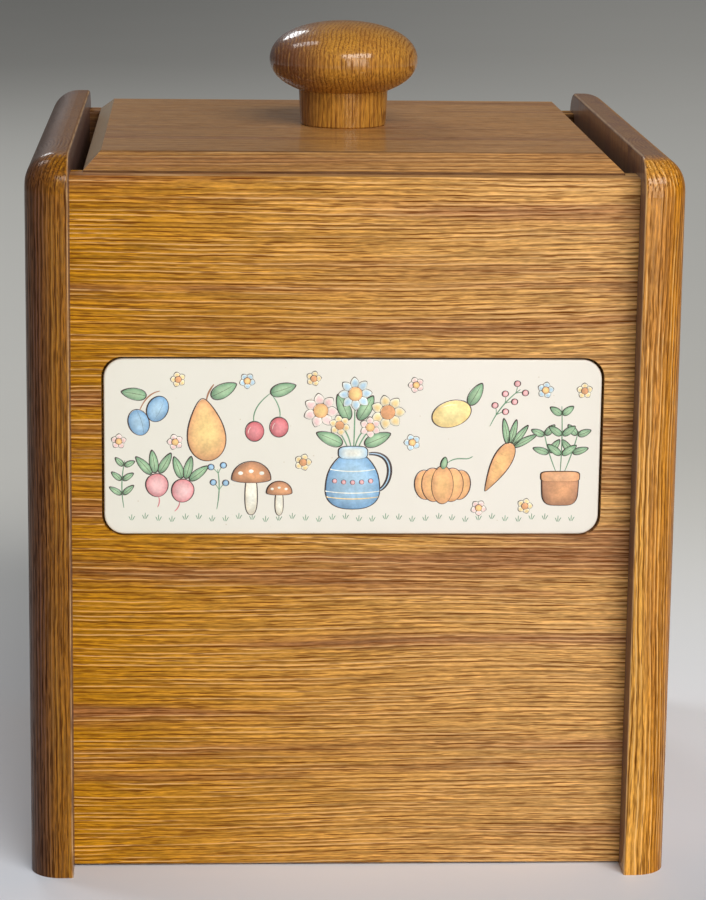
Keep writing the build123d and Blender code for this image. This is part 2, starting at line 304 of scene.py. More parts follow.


# Front and back panels
# Boards of the same oak laid with the grain level, cut so that it runs almost straight. Dowels hold them
# between the side boards, and the front one has a pocket routed in its face for the tile.
# The front panel's honey turns paler towards the right: a painted sheen, as of light from the right.
finish_node("front_panel", oak(
    "front panel oak", pith=(0.35, -0.06, -0.42), lean=grain_level, ring_width=0.0015,
    honey=(0.43, 0.185, 0.0, 1.0), pale=(0.8, 0.47, 0.2, 1.0), late_wood=(0.22, 0.08, 0.045, 1.0),
    vessel=(0.13, 0.03, 0.0, 1.0), banding=0.6, streaks=0.36, roughness=0.42, lacquer=0.05,
    turns_to=(0.59, 0.32, 0.1, 1.0), turn_from=-0.1, turn_end=0.09,
))
back_oak = oak(
    "back panel oak", pith=(-1.1, 0.02, 0.61), lean=grain_level, ring_width=0.0018,
    honey=(0.46, 0.2, 0.024, 1.0), pale=(0.75, 0.42, 0.12, 1.0), late_wood=(0.27, 0.105, 0.028, 1.0),
    vessel=(0.1, 0.026, 0.0, 1.0), banding=0.5, streaks=0.38, roughness=0.42, lacquer=0.05,
)


def paint_shade_inside(material, face):
    """Darken a back panel's inner face, up to a Y just past it, with near-black painted shade."""
    tree, colour_input, wood, point = to_paint(material)
    painted_shade = between(tree, split(tree, point)["Y"], face + 0.0012, face + 0.0004, 0.0, 0.85)
    tree.links.new(blend_colours(tree, painted_shade, wood, (0.06, 0.025, 0.012, 1.0)), colour_input)


# Painted shade on the back panel's inner face.
paint_shade_inside(back_oak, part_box("back_panel")[0].y)
finish_node("back_panel", back_oak)


# Dowels
# Twelve short pegs of bare beech, glued half into a side board and half into the end of a panel. They are
# hidden once the box is together.
def beech():
    """Pale wood with short brown flecks, which are thin cells along the grain."""
    material, tree, shader, place = new_surface("bare beech", Roughness=0.6)
    flecks = between(tree, cells(tree, place, (320.0, 1800.0, 1800.0)), 0.4, 0.2, 0.0, 0.7)
    fibres = noise(tree, place, (30.0, 1500.0, 1500.0), detail=3.0)
    ground = blend_colours(tree, fibres, (0.72, 0.52, 0.33, 1.0), (0.60, 0.41, 0.25, 1.0))
    colour = blend_colours(tree, flecks, ground, (0.36, 0.19, 0.09, 1.0))
    bump = add_node(tree, "Bump", {"Strength": 0.4, "Distance": 0.0001, "Height": fibres})
    tree.links.new(colour, shader.inputs["Base Color"])
    tree.links.new(bump.outputs["Normal"], shader.inputs["Normal"])
    return material


peg_wood = beech()
for corner in ("front_left", "front_right", "back_left", "back_right"):
    finish_node(corner + "_dowels", peg_wood)


# Bottom panel
# Thin plywood with its edges in grooves in all four boards. Its faces are plain rotary-cut veneer, left bare.
def plywood():
    """Pale veneer with a faint figure. The edge shows the plies, which are steps of the height."""
    ply_thickness = 0.0015
    material, tree, shader, place = new_surface("bare plywood", Roughness=0.65)
    fibres = noise(tree, place, (12.0, 500.0, 500.0), detail=4.0)
    figure = between(tree, noise(tree, place, (5.0, 30.0, 30.0), detail=3.0), 0.35, 0.65)
    ply = calc(tree, "PINGPONG", split(tree, place)["Z"], ply_thickness)
    plies = between(tree, ply, ply_thickness * 0.4, ply_thickness * 0.6, 0.0, 0.35)
    ground = blend_colours(tree, figure, (0.66, 0.47, 0.28, 1.0), (0.57, 0.37, 0.2, 1.0))
    ground = blend_colours(tree, plies, ground, (0.42, 0.25, 0.12, 1.0))
    light = between(tree, fibres, 0.2, 0.8, 0.82, 1.15)
    bump = add_node(tree, "Bump", {"Strength": 0.4, "Distance": 0.0002, "Height": fibres})
    tree.links.new(blend_colours(tree, 1.0, ground, light, "MULTIPLY"), shader.inputs["Base Color"])
    tree.links.new(bump.outputs["Normal"], shader.inputs["Normal"])
    return material


finish_node("bottom_panel", plywood())


# Tile adhesive
# Five dabs of tan construction adhesive between the tile's back and the floor of its pocket.
def adhesive():
    """Tan, lumpy and slightly glossy."""
    material, tree, shader, place = new_surface("cured adhesive", Roughness=0.45)
    lumps = noise(tree, place, (260.0, 260.0, 260.0), detail=4.0)
    bump = add_node(tree, "Bump", {"Strength": 0.6, "Distance": 0.0005, "Height": lumps})
    colour = blend_colours(tree, lumps, (0.62, 0.54, 0.4, 1.0), (0.47, 0.39, 0.27, 1.0))
    tree.links.new(colour, shader.inputs["Base Color"])
    tree.links.new(bump.outputs["Normal"], shader.inputs["Normal"])
    return material


finish_node("tile_adhesive", adhesive())


# Tile
# White ceramic under a cream glaze, with rounded corners, set a little below the panel's face. The glaze is a
# touch uneven, with a few fine specks.
def glaze():
    """Cream glaze: a slow change of tone, a little warmer and paler towards the right, rare specks, and a
    surface that waves very slightly."""
    material, tree, shader, place = new_surface("cream glaze", IOR=1.52, Coat_Weight=0.4, Coat_Roughness=0.05)
    glaze_roughness = 0.14
    mark_strength = 0.1
    tone = noise(tree, place, (28.0, 28.0, 28.0), detail=3.0)
    specks = between(tree, cells(tree, place, (420.0, 420.0, 420.0)), 0.12, 0.06)
    rare = between(tree, noise(tree, place, (120.0, 120.0, 120.0)), 0.56, 0.62, 0.0, 0.55)
    to_right = between(tree, split(tree, place)["X"], -0.08, 0.05)
    ground = blend_colours(tree, to_right, (0.74, 0.715, 0.62, 1.0), (0.8, 0.75, 0.665, 1.0))
    ground = blend_colours(tree, calc(tree, "MULTIPLY", tone, 0.4), ground, (0.7, 0.67, 0.56, 1.0))
    colour = blend_colours(tree, calc(tree, "MULTIPLY", specks, rare), ground, (0.52, 0.42, 0.27, 1.0))
    marks = add_node(tree, "Group", {"Place": place}, node_tree=handling_group).outputs["Marks"]
    rough = calc(tree, "MULTIPLY_ADD", marks, mark_strength, glaze_roughness)
    waves = noise(tree, place, (90.0, 90.0, 90.0))
    bump = add_node(tree, "Bump", {"Strength": 0.25, "Distance": 0.0003, "Height": waves})
    tree.links.new(colour, shader.inputs["Base Color"])
    tree.links.new(rough, shader.inputs["Roughness"])
    tree.links.new(bump.outputs["Normal"], shader.inputs["Normal"])
    return material


finish_node("tile", glaze())


# Printed design
# Enamel colours and thin brown lines, fired into the glaze and a few hundredths of a millimetre proud of it:
# a jug of flowers with fruit, vegetables and sprigs to each side. Its sizes are millimetres on the tile.
tile_low, tile_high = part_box("tile")
tile_middle = np.array(((tile_low.x + tile_high.x) / 2, (tile_low.z + tile_high.z) / 2))
print_sink = 0.04
print_lift = 0.03
layer_lift = 0.008
line_layer = 5
line_width = 0.44
shade = 0.13

ink_brown = (0.055, 0.035, 0.03)
powder_blue = (0.42, 0.62, 0.76)
deep_blue = (0.17, 0.34, 0.54)
pink = (0.88, 0.55, 0.53)
rose = (0.72, 0.26, 0.27)
mustard = (0.90, 0.64, 0.25)
terracotta = (0.72, 0.35, 0.16)
chestnut = (0.36, 0.17, 0.09)
sage = (0.42, 0.60, 0.36)
moss = (0.14, 0.29, 0.16)
cream = (0.84, 0.83, 0.71)

print_parts = []


def turned(points, at, turn):
    """Flat points turned anticlockwise by so many degrees about the origin, then carried to their place."""
    angle = radians(turn)
    across, up = points[..., 0], points[..., 1]
    x = across * np.cos(angle) - up * np.sin(angle) + at[0]
    z = across * np.sin(angle) + up * np.cos(angle) + at[1]
    return np.stack([x, z], axis=-1)


def oval(width, height, taper=0.0, under=1.0, square=1.0, lobes=0, depth=0.0, count=48):
    """A closed outline about the origin: an ellipse whose width shrinks towards the top by taper, whose lower
    half is under times as tall, whose sides square up as square falls below 1, and whose edge may swell into
    lobes."""
    t = np.linspace(0, 2 * pi, count, endpoint=False)
    c, s = np.cos(t), np.sin(t)
    swell = 1 + depth * np.cos(lobes * t)
    x = width / 2 * np.sign(c) * np.abs(c) ** square * (1 - taper * ((1 + s) / 2) ** 1.5) * swell
    z = height / 2 * np.sign(s) * np.abs(s) ** square * np.where(s < 0, under, 1) * swell
    return np.stack([x, z], axis=-1)


def leaf(length, width, count=32):
    """A closed outline from the stalk at the origin to a pointed tip straight up: a sine across, thinned at
    the tip."""
    t = np.linspace(0, 2 * pi, count, endpoint=False)
    z = length * (1 - np.cos(t)) / 2
    x = width * 0.62 * np.sin(t) * np.sqrt(np.abs(np.cos(t / 2)) + 0.02)
    return np.stack([x, z], axis=-1)


def curve(*guides, count=18):
    """A smooth line through its first and last guide, drawn towards those between: the Bezier formula."""
    t = np.linspace(0, 1, count)[:, None]
    line = np.zeros((count, 2))
    degree = len(guides) - 1
    share = 1.0
    for i, guide in enumerate(guides):
        line = line + share * t**i * (1 - t) ** (degree - i) * np.array(guide, float)
        share = share * (degree - i) / (i + 1)
    return line


def add_print(flat, lift, faces, colours):
    """Keep one closed patch of the print: its flat points and their height over the glaze, in millimetres."""
    x = tile_middle[0] + flat[:, 0] / 1000
    y = tile_low.y - lift / 1000
    z = tile_middle[1] + flat[:, 1] / 1000
    print_parts.append((np.stack([x, y, z], axis=-1), faces, colours))


def colour_patch(outline, tone, rim=None, layer=0):
    """A patch of colour: rings that shrink the outline towards its middle, the outermost sunk in the glaze, a
    pole on top and one below. The tone runs to the rim's tone at the edge and is darker on the lower left."""
    rim = tone if rim is None else rim
    steps = np.array((1.0, 0.96, 0.7, 0.4))
    middle = outline.mean(axis=0)
    count = len(outline)
    rings = middle + steps[:, None, None] * (outline - middle)
    flat = np.concatenate([rings.reshape(-1, 2), middle[None], middle[None]])
    top = print_lift + layer * layer_lift
    lift = np.concatenate([np.repeat((-print_sink, top, top, top), count), [top, -print_sink]])
    here = np.arange(count)
    after = (here + 1) % count
    one_ring = np.stack([here, after, count + after, count + here], 1)
    quads = np.concatenate([one_ring + k * count for k in range(len(steps) - 1)])
    last = (len(steps) - 1) * count
    pole = len(steps) * count
    caps = [np.stack([last + here, last + after, np.full(count, pole)], 1),
            np.stack([after, here, np.full(count, pole + 1)], 1)]
    share = np.concatenate([np.repeat(steps**2, count), [0.0, 0.0]])[:, None]
    colours = np.array(tone) * (1 - share) + np.array(rim) * share
    away = (flat - middle) / (np.abs(outline - middle).max() + 0.001)
    colours = colours * (1 + shade * (away[:, :1] + away[:, 1:]))
    add_print(flat, lift, [quads.tolist(), np.concatenate(caps).tolist()], colours)


def pen_line(points, width=line_width, tone=ink_brown, closed=False, layer=line_layer):
    """A line of ink: left edge, crest, right edge and keel carried along the points. An open line thins to
    its ends, and a closed one swells and thins twice on its way round."""
    count = len(points)
    if closed:
        ahead = np.roll(points, -1, axis=0) - np.roll(points, 1, axis=0)
        swell = 0.85 + 0.25 * np.cos(np.linspace(0, 4 * pi, count, endpoint=False))
    else:
        ahead = np.gradient(points, axis=0)
        swell = 0.3 + 0.7 * np.sin(np.linspace(0.12, pi - 0.12, count)) ** 0.5
    ahead = ahead / (np.linalg.norm(ahead, axis=1, keepdims=True) + 1e-9)
    side = np.stack([-ahead[:, 1], ahead[:, 0]], axis=-1) * (width / 2 * swell)[:, None]
    flat = np.stack([points + side, points, points - side, points], axis=1).reshape(-1, 2)
    top = print_lift + layer * layer_lift
    lift = np.tile((0.0, top, 0.0, -print_sink), count)
    here = np.arange(count if closed else count - 1)
    after = (here + 1) % count
    faces = []
    for k in range(4):
        n = (k + 1) % 4
        faces.append(np.stack([here * 4 + k, here * 4 + n, after * 4 + n, after * 4 + k], 1))
    quads = np.concatenate(faces).tolist()
    if not closed:
        quads += [[3, 2, 1, 0], [count * 4 - 4, count * 4 - 3, count * 4 - 2, count * 4 - 1]]
    add_print(flat, lift, [quads], np.tile(tone, (count * 4, 1)))


def shape(outline, tone, rim=None, layer=0, width=line_width):
    """A patch of colour with its pen line, which the colour misses by a little, as a hand print does."""
    slip = np.array((0.12, -0.1))
    colour_patch(outline + slip, tone, rim, layer)
    pen_line(outline, width=width, closed=True, layer=layer + line_layer)


def veined_leaf(at, length, width, turn, tone=sage, rim=moss, layer=0):
    """A leaf with its middle vein."""
    shape(turned(leaf(length, width), at, turn), tone, rim, layer)
    vein = curve((0.0, 0.0), (0.25, length * 0.5), (0.0, length * 0.86))
    pen_line(turned(vein, at, turn), width=0.24, layer=layer + line_layer + 1)


petal_line = 0.27


def flower(at, size, petals, tone, heart=mustard, turn=0.0, layer=1):
    """Leaf-shaped petals that stand round a heart, which hides their feet."""
    for k in range(petals):
        way = turn + 360.0 * k / petals
        foot = turned(np.array((0.0, size * 0.18)), at, way)
        shape(turned(leaf(size * 0.33, size * 1.9 / petals), foot, way), tone, cream, layer, petal_line)
    heart_edge = oval(size * 0.44, size * 0.44, count=20)
    shape(turned(heart_edge, at, 0.0), heart, terracotta, layer + 7, petal_line)


def sprig(foot, bend, tip, pairs, leaf_length, tone=sage, rim=moss, berry=None, layer=1):
    """A stalk with pairs of leaves, or with a berry at the end of each twig."""
    stalk = curve(foot, bend, tip, count=24)
    last = len(stalk) - 1
    pen_line(stalk, width=0.4, tone=moss, layer=layer)
    for k in range(pairs):
        share = (k + 1.0) / (pairs + 0.3)
        spot = int(share * last)
        at = stalk[spot]
        way = stalk[min(spot + 1, last)] - stalk[max(spot - 1, 0)]
        heading = np.degrees(np.arctan2(way[1], way[0])) - 90
        for side in (-1, 1):
            if berry is None:
                foot_of_leaf = turned(np.array((side * 0.3, 0.3)), at, heading)
                long = leaf_length * (1.1 - 0.35 * share)
                veined_leaf(foot_of_leaf, long, leaf_length * 0.38, heading - side * 54, tone, rim, layer + 1)
            else:
                twig = turned(curve((0, 0), (side * 0.6, 1.6), (side * 2.0, 2.6)), at, heading)
                pen_line(twig, width=0.26, tone=moss, layer=layer)
                shape(turned(oval(1.9, 1.9, count=20), twig[-1], 0), berry[0], berry[1], layer + 1)


# The jug and its flowers, in the middle. A bloom is its place, its stalk's lean and what flower takes next
jug_at = np.array((0.0, -11.0))
blooms = (
    ((-10.5, 12.0), -3.0, 11.0, 7, pink, mustard, 8, 9),
    ((0.5, 17.5), 0.5, 10.6, 8, powder_blue, mustard, 3, 9),
    ((11.0, 11.5), 3.0, 11.0, 7, mustard, terracotta, 14, 9),
    ((-4.4, 7.2), -1.0, 6.6, 6, mustard, terracotta, 11, 17),
    ((5.4, 6.6), 1.0, 6.6, 6, pink, mustard, 2, 17),
)
for flower_at, lean_to, *_ in blooms:
    pen_line(curve((lean_to * 0.3, -2.5), (lean_to, 5.0), flower_at), width=0.45, tone=moss, layer=0)
for leaf_at, turn in (((-3.5, 1.0), 66), ((3.8, 0.8), -66), ((-1.4, 9.0), 24), ((1.8, 9.0), -30)):
    veined_leaf(leaf_at, 9.0, 3.8, turn, layer=1)
for flower_at, _, *facts in blooms:
    flower(flower_at, *facts)
shape(turned(oval(20.0, 19.0, taper=0.42, square=0.82), jug_at, 0), powder_blue, deep_blue, 9)
shape(turned(oval(9.4, 4.2, square=0.6), jug_at + (0.0, 9.2), 0), cream, powder_blue, 15)
for band_at, band_width, tone in ((-4.0, 17.4, cream), (-5.9, 16.6, mustard), (3.2, 14.4, cream)):
    band = curve((-band_width / 2, band_at + 0.5), (0.0, band_at - 0.9), (band_width / 2, band_at + 0.5))
    pen_line(band + jug_at, width=1.1, tone=tone, layer=15)
handle = curve((5.2, 8.8), (14.0, 9.8), (13.0, -1.0), (8.6, -3.2), count=26)
pen_line(handle + jug_at, width=1.8, layer=6)
pen_line(handle + jug_at, width=1.1, tone=powder_blue, layer=8)
for dot in range(5):
    spot = jug_at + ((dot - 2) * 2.9, -0.6 + 0.12 * (dot - 2) ** 2)
    shape(turned(oval(1.5, 1.5, count=16), spot, 0), pink, rose, 15)

# Fruit, to the left: a pear, cherries and blue plums
veined_leaf((-45.4, 16.4), 9.0, 4.2, -62, layer=1)
pen_line(curve((-47.0, 15.0), (-46.6, 18.0), (-44.6, 20.4)), width=0.6, tone=chestnut, layer=1)
shape(turned(oval(14.5, 20.5, taper=0.55), (-47.2, 5.6), 6), mustard, terracotta, 9)
for speck in range(7):
    spot = (-50.0 + 1.7 * (speck % 3), 0.4 + 1.9 * (speck // 3) + 0.5 * (speck % 2))
    pen_line(turned(oval(0.4, 0.4, count=8), spot, 0), width=0.22, tone=terracotta, closed=True, layer=11)
for cherry_at, bend in (((-31.6, 5.0), -1.6), ((-23.8, 6.4), 1.4)):
    stem = curve((-26.5, 17.6), (cherry_at[0] + bend, 12.5), (cherry_at[0], cherry_at[1] + 2.2))
    pen_line(stem, width=0.4, tone=moss, layer=1)
    shape(turned(oval(6.4, 6.0, lobes=1, depth=0.04), cherry_at, 90), rose, (0.5, 0.1, 0.11), 3)
    pen_line(curve((-1.2, 1.5), (-2.1, 0.6), (-2.0, -0.6)) + cherry_at, width=0.5, tone=cream, layer=6)
veined_leaf((-26.5, 17.6), 8.4, 3.8, -72, layer=4)
for plum_at, turn, layer in (((-68.6, 8.0), 18, 3), ((-62.6, 12.4), -24, 9)):
    shape(turned(oval(6.6, 8.6), plum_at, turn), powder_blue, deep_blue, layer)
    crease = turned(curve((0.6, 4.0), (1.5, 0.0), (0.4, -4.0)), plum_at, turn)
    pen_line(crease, width=0.26, layer=layer + 3)
pen_line(curve((-68.2, 12.0), (-66.0, 17.5), (-61.8, 18.2)), width=0.45, tone=chestnut, layer=1)
veined_leaf((-66.2, 16.6), 8.0, 3.6, 80, layer=1)

# Vegetables, along the foot: mushrooms, radishes, a pumpkin and a carrot
for cap_at, cap, stem, layer in (((-32.6, -10.5), 12.6, 9.5, 1), ((-23.6, -15.0), 8.2, 6.0, 14)):
    stem_at = (cap_at[0], cap_at[1] - stem * 0.5)
    stem_edge = oval(cap * 0.34, stem * 1.5, taper=0.25, square=0.8)
    shape(turned(stem_edge, stem_at, 0), cream, (0.8, 0.7, 0.52), layer)
    shape(turned(oval(cap, cap * 0.92, under=0.22), cap_at, 0), terracotta, chestnut, layer + 6)
    for k in range(3):
        spot = (cap_at[0] + (k - 1) * cap * 0.27, cap_at[1] + cap * (0.2 - 0.05 * abs(k - 1)))
        colour_patch(turned(oval(cap * 0.13, cap * 0.1, count=14), spot, 0), cream, layer=layer + 8)
for root_at, turn in (((-62.8, -12.6), 8), ((-54.6, -14.4), -14)):
    for fan in (-38, 0, 34):
        veined_leaf(turned(np.array((0.0, 4.2)), root_at, turn + fan * 0.5), 7.4, 2.6, turn + fan, layer=1)
    shape(turned(oval(6.8, 7.6, taper=-0.12), root_at, turn), pink, rose, 9)
    tail = curve((0.0, -3.7), (0.4, -5.6), (-0.8, -7.2))
    pen_line(turned(tail, root_at, turn), width=0.42, tone=rose, layer=8)
pumpkin_at = np.array((29.0, -12.4))
ribs = ((-5.6, 6.8, 1), (5.6, 6.8, 1), (-3.0, 7.4, 7), (3.0, 7.4, 7), (0.0, 7.0, 13))
for rib_at, rib_width, layer in ribs:
    rib = turned(oval(rib_width, 12.6 - abs(rib_at) * 0.5), pumpkin_at + (rib_at, 0.0), -rib_at * 1.2)
    shape(rib, (0.86, 0.5, 0.2), terracotta, layer)
shape(turned(oval(2.2, 4.0, taper=0.3), pumpkin_at + (0.4, 7.2), -12), sage, moss, 19)
tendril = curve((1.2, 7.0), (5.0, 10.2), (7.4, 7.4), (9.6, 9.4))
pen_line(tendril + pumpkin_at, width=0.4, tone=moss, layer=2)
carrot_at = np.array((47.0, -6.5))
for fan in (-34, -10, 14, 38):
    leaf_foot = turned(np.array((0.0, 8.2)), carrot_at, -28 + fan * 0.2)
    veined_leaf(leaf_foot, 8.4, 2.0, -28 + fan, layer=1)
shape(turned(oval(7.4, 18.0, taper=0.72), carrot_at, 152), (0.88, 0.52, 0.2), terracotta, 9)
for notch in range(4):
    tick = curve((-1.8 + notch * 0.1, 0.0), (-0.6, -0.35), (0.4, 0.0)) + (0.0, 4.4 - 3.1 * notch)
    pen_line(turned(tick, carrot_at, -28), width=0.26, tone=chestnut, layer=12)

# To the right: a lemon, a pot of herbs and berry sprigs
shape(turned(oval(12.2, 9.0, lobes=2, depth=0.055), (31.5, 11.0), 18), (0.93, 0.76, 0.34), mustard, 3)
veined_leaf((37.2, 14.0), 8.0, 3.6, -30, layer=1)
pen_line(curve((-3.4, 1.9), (-1.2, 3.1), (1.6, 2.9)) + (31.5, 11.0), width=0.5, tone=cream, layer=6)
pot_at = np.array((67.0, -14.2))
stalks = (((65.6, -8.0), (62.6, -1.0), (61.4, 5.5)), ((67.0, -8.0), (67.6, 2.0), (67.0, 13.5)),
          ((68.4, -8.0), (71.2, -1.0), (72.6, 5.5)))
for number, (foot, bend, tip) in enumerate(stalks):
    sprig(foot, bend, tip, 2 if number != 1 else 3, 5.4, layer=1 if number != 1 else 9)
shape(turned(oval(10.6, 10.0, square=0.5, taper=-0.3), pot_at, 0), terracotta, chestnut, 18)
shape(turned(oval(12.6, 3.4, square=0.45), pot_at + (0.0, 4.6), 0), (0.8, 0.43, 0.22), terracotta, 24)
sprig((44.0, 7.0), (47.0, 14.0), (53.5, 19.0), 3, 5.0, berry=(pink, rose))
sprig((-43.6, -20.5), (-42.2, -13.0), (-43.4, -7.4), 2, 5.2, berry=(powder_blue, deep_blue))
sprig((-73.4, -20.0), (-74.8, -12.0), (-73.0, -4.5), 3, 4.4)

# Small flowers in the gaps, and ticks of green along the foot
small_flowers = (
    ((-16.0, -5.0), 5.4, mustard), ((19.0, 1.6), 5.2, powder_blue), ((20.0, 20.4), 5.0, pink),
    ((-12.8, 22.4), 4.8, mustard), ((40.8, -20.0), 5.0, pink), ((61.6, 18.8), 5.2, powder_blue),
    ((-57.0, 1.6), 5.0, pink), ((-34.0, 21.6), 5.0, powder_blue), ((-56.0, 22.0), 4.8, mustard),
    ((74.2, 18.6), 5.0, mustard), ((55.8, -19.4), 5.0, mustard), ((-75.0, 1.8), 4.8, pink),
)
for spot, size, tone in small_flowers:
    flower(spot, size, 5, tone, heart=terracotta if tone == mustard else mustard, turn=spot[0], layer=2)
for tuft in range(34):
    left = -71.0 + 4.3 * tuft
    for blade, reach in ((-0.5, 1.3), (0.1, 2.0), (0.7, 1.4)):
        foot = -24.2 + 0.5 * np.sin(1.7 * tuft)
        middle = (left + blade, foot + reach * 0.6)
        stroke = curve((left + blade * 0.5, foot), middle, (left + blade * 1.6, foot + reach), count=7)
        pen_line(stroke, width=0.26, tone=moss, layer=0)


def printed_mesh():
    """All the patches and lines as one mesh, with each point's colour in the attribute named ink."""
    faces = []
    start = 0
    for points, groups, _ in print_parts:
        for group in groups:
            faces += (np.array(group) + start).tolist()
        start += len(points)
    mesh = bpy.data.meshes.new("tile_print")
    mesh.from_pydata(np.concatenate([part[0] for part in print_parts]).tolist(), [], faces)
    colours = np.concatenate([part[2] for part in print_parts]).clip(0, 1)
    ink = mesh.color_attributes.new("ink", "FLOAT_COLOR", "POINT")
    opaque = np.column_stack([colours, np.ones(len(colours))])
    ink.data.foreach_set("color", opaque.ravel().astype(np.float32))
    return mesh


def enamel():
    """The printed colours, with the grain and slight unevenness of a transfer print under its glaze."""
    gloss = {"Roughness": 0.2, "Coat_Weight": 0.3, "Coat_Roughness": 0.06}
    material, tree, shader, place = new_surface("printed enamel", **gloss)
    ink = add_node(tree, "Attribute", attribute_name="ink").outputs["Color"]
    grain = noise(tree, place, (1400.0, 1400.0, 1400.0))
    wash = noise(tree, place, (260.0, 260.0, 260.0), detail=3.0)
    grain = between(tree, grain, 0.3, 0.7, 0.93, 1.07)
    light = calc(tree, "MULTIPLY", grain, between(tree, wash, 0.3, 0.7, 0.86, 1.14))
    tree.links.new(blend_colours(tree, 1.0, ink, light, "MULTIPLY"), shader.inputs["Base Color"])
    return material


tile_print = bpy.data.objects.new("tile_print", printed_mesh())
bpy.context.scene.collection.objects.link(tile_print)
tile_print.data.materials.append(enamel())
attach(tile_print, "box")


# Liner
# A thin bin of moulded food-safe plastic, off-white and matt, that keeps the food off the wood and lifts out.
def liner_plastic():
    """Off-white plastic with the fine grain of its mould, and faint upright scuffs from lifting it out."""
    material, tree, shader, place = new_surface("liner plastic", IOR=1.49)
    grain = noise(tree, place, (2600.0, 2600.0, 2600.0))
    tone = noise(tree, place, (18.0, 18.0, 18.0), detail=3.0)
    scuffs = between(tree, noise(tree, place, (700.0, 700.0, 26.0)), 0.62, 0.74)
    ground = blend_colours(tree, tone, (0.77, 0.745, 0.67, 1.0), (0.73, 0.70, 0.62, 1.0))
    colour = blend_colours(tree, calc(tree, "MULTIPLY", scuffs, 0.25), ground, (0.62, 0.59, 0.52, 1.0))
    rough = calc(tree, "MULTIPLY_ADD", scuffs, 0.12, 0.46)
    bump = add_node(tree, "Bump", {"Strength": 0.25, "Distance": 0.0001, "Height": grain})
    tree.links.new(colour, shader.inputs["Base Color"])
    tree.links.new(rough, shader.inputs["Roughness"])
    tree.links.new(bump.outputs["Normal"], shader.inputs["Normal"])
    return material


finish_node("liner", liner_plastic())


# Lid
# One board of the same oak with the grain along the front, rabbeted front and back so that its lip rests on
# the panels, and bevelled on all four edges. It is loose, and lifts off by its knob.
# The lid's honey turns paler towards the right: painted light from the right.
lid_oak = oak(
    "lid oak", pith=(0.8, 0.46, 0.17), lean=grain_level, ring_width=0.0021,
    honey=(0.4, 0.19, 0.045, 1.0), pale=(0.6, 0.35, 0.14, 1.0), late_wood=(0.29, 0.12, 0.045, 1.0),
    vessel=(0.17, 0.065, 0.018, 1.0), banding=0.6, streaks=0.22, roughness=0.45, lacquer=0.5,
    turns_to=(0.56, 0.275, 0.085, 1.0), turn_from=-0.05, turn_end=0.06,
)


def paint_lid_shade_and_reflection(material, low, high, low_edge, bevel, side_bevel):
    """Paint shade and a reflection on a board: painted shade darkens its thin outer edge, up to a height, and
    a darker line runs along the arris at its front. Its left bevel is painted pale as a reflection, as far as
    the mitre with the front and back ones: there a point is a smaller share of the bevel's width in from the
    side than from the ends."""
    tree, colour_input, wood, point = to_paint(material)
    place = split(tree, point)
    # Painted shade on the lip's thin outer edge, and a darker line along the arris at the front.
    foot = between(tree, place["Z"], low_edge, low_edge - 0.0003, 0.0, 0.8)
    from_arris = calc(tree, "ABSOLUTE", calc(tree, "SUBTRACT", place["Y"], low.y + bevel))
    line = between(tree, from_arris, 0.0013, 0.0003, 0.0, 0.55)
    from_side = calc(tree, "DIVIDE", calc(tree, "SUBTRACT", place["X"], low.x), side_bevel)
    from_front = calc(tree, "DIVIDE", calc(tree, "SUBTRACT", place["Y"], low.y), bevel)
    from_back = calc(tree, "DIVIDE", calc(tree, "SUBTRACT", high.y, place["Y"]), bevel)
    from_end = calc(tree, "MINIMUM", calc(tree, "MINIMUM", from_front, from_back), 1.0)
    # A painted reflection: the left bevel paler.
    painted_reflection = between(tree, calc(tree, "SUBTRACT", from_side, from_end), 0.04, -0.06, 0.0, 0.5)
    wood = blend_colours(tree, painted_reflection, wood, (0.5, 0.43, 0.31, 1.0))
    wood = blend_colours(tree, calc(tree, "MAXIMUM", foot, line), wood, (0.07, 0.03, 0.015, 1.0))
    tree.links.new(wood, colour_input)


lid_low, lid_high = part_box("lid_board")
# Painted shade on the lid's lip, and a painted reflection on its left bevel.
paint_lid_shade_and_reflection(lid_oak, lid_low, lid_high, low_edge=0.2293, bevel=0.013, side_bevel=0.0053)
finish_node("lid_board", lid_oak)


# Knob
# Turned in one piece from darker oak with the grain upright, a flattened ball on a short neck, and lacquered
# glossier than the boards.
# The knob's honey turns dark towards its left side: painted shade.
finish_node("knob", oak(
    "knob oak", pith=(0.12, -0.035, 0.3), lean=grain_upright, ring_width=0.0013,
    honey=(0.44, 0.2, 0.025, 1.0), pale=(0.5, 0.25, 0.05, 1.0), late_wood=(0.28, 0.1, 0.02, 1.0),
    vessel=(0.15, 0.05, 0.012, 1.0), banding=0.35, streaks=0.12, roughness=0.35, lacquer=0.8,
    turns_to=(0.12, 0.055, 0.04, 1.0), turn_from=-0.004, turn_end=-0.02,
))


# Knob screw and washer
# Zinc-plated steel, driven up through the lid from below.
def zinc():
    """Bright zinc plate with a fine bluish mottle and turning marks round the screw's axis."""
    plate_roughness = 0.22
    material, tree, shader, place = new_surface("zinc plate", Metallic=1.0)
    mottle = noise(tree, place, (600.0, 600.0, 600.0), detail=3.0)
    colour = blend_colours(tree, mottle, (0.68, 0.69, 0.71, 1.0), (0.52, 0.54, 0.57, 1.0))
    marks = noise(tree, place, (900.0, 900.0, 5000.0))
    bump = add_node(tree, "Bump", {"Strength": 0.3, "Distance": 0.00005, "Height": marks})
    tree.links.new(colour, shader.inputs["Base Color"])
    tree.links.new(calc(tree, "MULTIPLY_ADD", mottle, 0.2, plate_roughness), shader.inputs["Roughness"])
    tree.links.new(bump.outputs["Normal"], shader.inputs["Normal"])
    return material


plating = zinc()
finish_node("knob_screw", plating)
finish_node("knob_washer", plating)


